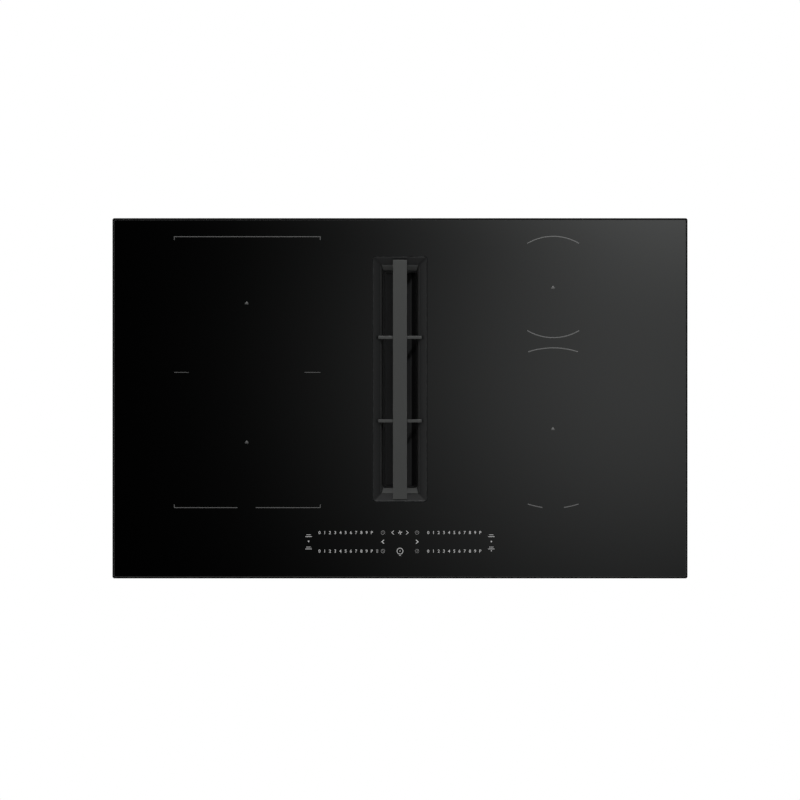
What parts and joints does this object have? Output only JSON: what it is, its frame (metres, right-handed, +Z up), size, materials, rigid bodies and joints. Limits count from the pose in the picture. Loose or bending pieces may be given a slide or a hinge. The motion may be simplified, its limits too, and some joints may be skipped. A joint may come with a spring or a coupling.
{
  "type": "downdraft induction cooktop",
  "caption": "Flush glass induction cooktop with a lift-out grille over a central extraction shaft, filter, drip tray and a blower box below.",
  "frame": {"origin": "under the middle of the glass, on the plane of the fan box's underside", "axes": "+X to the cook's right, +Y to the rear, +Z up out of the glass"},
  "size_m": [0.83, 0.52, 0.21],
  "materials": {
    "black_glass": "polished black glass ceramic, opaque",
    "foam_seal": "closed-cell foam",
    "frame_plastic": "satin heat-resistant plastic",
    "grille_metal": "satin, grained lengthwise",
    "stainless_steel": "pressed stainless steel",
    "filter_mesh": "expanded metal mesh, black coated",
    "galvanised_sheet": "galvanised sheet with spangle",
    "screw_steel": "zinc-plated",
    "aluminium_sheet": "mill finish",
    "copper_winding": "enamelled copper litz",
    "ferrite": "pressed ferrite",
    "circuit_board": "solder-masked laminate",
    "black_plastic": "fine-grained moulding",
    "fan_box_plastic": "fine-grained moulding",
    "grey_plastic": "satin moulding",
    "pale_plastic": "translucent moulding",
    "white_print": "white enamel printed on the glass"
  },
  "bodies": {
    "hob": {"glass_panel": "black_glass", "glass_seal": "foam_seal", "intake_frame": "frame_plastic", "intake_gasket": "foam_seal", "casing_tray": "galvanised_sheet", "shaft_gasket": "foam_seal", "clamp_screw_left_front": "screw_steel", "clamp_screw_left_rear": "screw_steel", "clamp_screw_right_front": "screw_steel", "clamp_screw_right_rear": "screw_steel", "coil_plate_left": "aluminium_sheet", "coil_plate_right": "aluminium_sheet", "coil_left_rear": "copper_winding", "coil_left_front": "copper_winding", "coil_right_rear": "copper_winding", "coil_right_front": "copper_winding", "ferrite_left_rear": "ferrite", "ferrite_left_front": "ferrite", "ferrite_right_rear": "ferrite", "ferrite_right_front": "ferrite", "power_board_left": "circuit_board", "power_board_right": "circuit_board", "heat_sink_left": "aluminium_sheet", "heat_sink_right": "aluminium_sheet", "cooling_fan_housing_left": "black_plastic", "cooling_fan_housing_right": "black_plastic", "light_guide": "pale_plastic", "touch_board": "circuit_board", "terminal_box": "black_plastic", "terminal_block": "pale_plastic", "cable_gland": "black_plastic", "lid_hinge_pin": "screw_steel", "fan_box_lower": "fan_box_plastic", "fan_box_upper": "fan_box_plastic", "fan_scroll": "grey_plastic", "scroll_lid": "grey_plastic", "inlet_ring": "black_plastic", "blower_motor": "aluminium_sheet", "duct_spigot": "black_plastic"},
    "grille": {"grille_bar": "grille_metal", "grille_rib_rear": "grille_metal", "grille_rib_front": "grille_metal", "grille_foot_rear": "frame_plastic", "grille_foot_front": "frame_plastic"},
    "filter": {"filter_frame": "filter_mesh", "filter_panel_left": "filter_mesh", "filter_panel_right": "filter_mesh", "filter_handle": "black_plastic"},
    "tray": {"drip_tray": "grey_plastic"},
    "blower_rotor": {"blower_impeller": "black_plastic", "motor_shaft": "screw_steel"},
    "cooler_left": {"cooling_fan_impeller_left": "black_plastic"},
    "cooler_right": {"cooling_fan_impeller_right": "black_plastic"},
    "clamp_left_front": {"clamp_left_front": "stainless_steel"},
    "clamp_left_rear": {"clamp_left_rear": "stainless_steel"},
    "clamp_right_front": {"clamp_right_front": "stainless_steel"},
    "clamp_right_rear": {"clamp_right_rear": "stainless_steel"},
    "terminal_lid": {"terminal_lid": "black_plastic"}
  },
  "joints": [
    {"name": "grille_lift", "type": "slide", "parent": "hob", "child": "grille", "axis": [0, 0, 1], "range_m": [0, 0.36]},
    {"name": "filter_lift", "type": "slide", "parent": "hob", "child": "filter", "axis": [0, 0, 1], "range_m": [0, 0.26]},
    {"name": "tray_lift", "type": "slide", "parent": "hob", "child": "tray", "axis": [0, 0, 1], "range_m": [0, 0.217]},
    {"name": "blower_spin", "type": "hinge", "parent": "hob", "child": "blower_rotor", "pos_m": [0.175, -0.01, 0.06], "axis": [0, 0, 1], "continuous": true},
    {"name": "cooler_left_spin", "type": "hinge", "parent": "hob", "child": "cooler_left", "pos_m": [-0.2208, -0.08, 0.16], "axis": [0, 0, 1], "continuous": true},
    {"name": "cooler_right_spin", "type": "hinge", "parent": "hob", "child": "cooler_right", "pos_m": [0.261, -0.08, 0.16], "axis": [0, 0, 1], "continuous": true},
    {"name": "clamp_left_front_swing", "type": "hinge", "parent": "hob", "child": "clamp_left_front", "pos_m": [-0.357, -0.15, 0.158], "axis": [0, 0, -1], "range_deg": [0, 90]},
    {"name": "clamp_left_rear_swing", "type": "hinge", "parent": "hob", "child": "clamp_left_rear", "pos_m": [-0.357, 0.15, 0.158], "axis": [0, 0, 1], "range_deg": [0, 90]},
    {"name": "clamp_right_front_swing", "type": "hinge", "parent": "hob", "child": "clamp_right_front", "pos_m": [0.357, -0.15, 0.158], "axis": [0, 0, 1], "range_deg": [0, 90]},
    {"name": "clamp_right_rear_swing", "type": "hinge", "parent": "hob", "child": "clamp_right_rear", "pos_m": [0.357, 0.15, 0.158], "axis": [0, 0, -1], "range_deg": [0, 90]},
    {"name": "terminal_lid_hinge", "type": "hinge", "parent": "hob", "child": "terminal_lid", "pos_m": [-0.265, 0.227, 0.142], "axis": [1, 0, 0], "range_deg": [0, 75]}
  ],
  "couplings": [
    {"joint": "filter_lift", "follows": "grille_lift", "ratio": 0.72},
    {"joint": "tray_lift", "follows": "grille_lift", "ratio": 0.6}
  ]
}
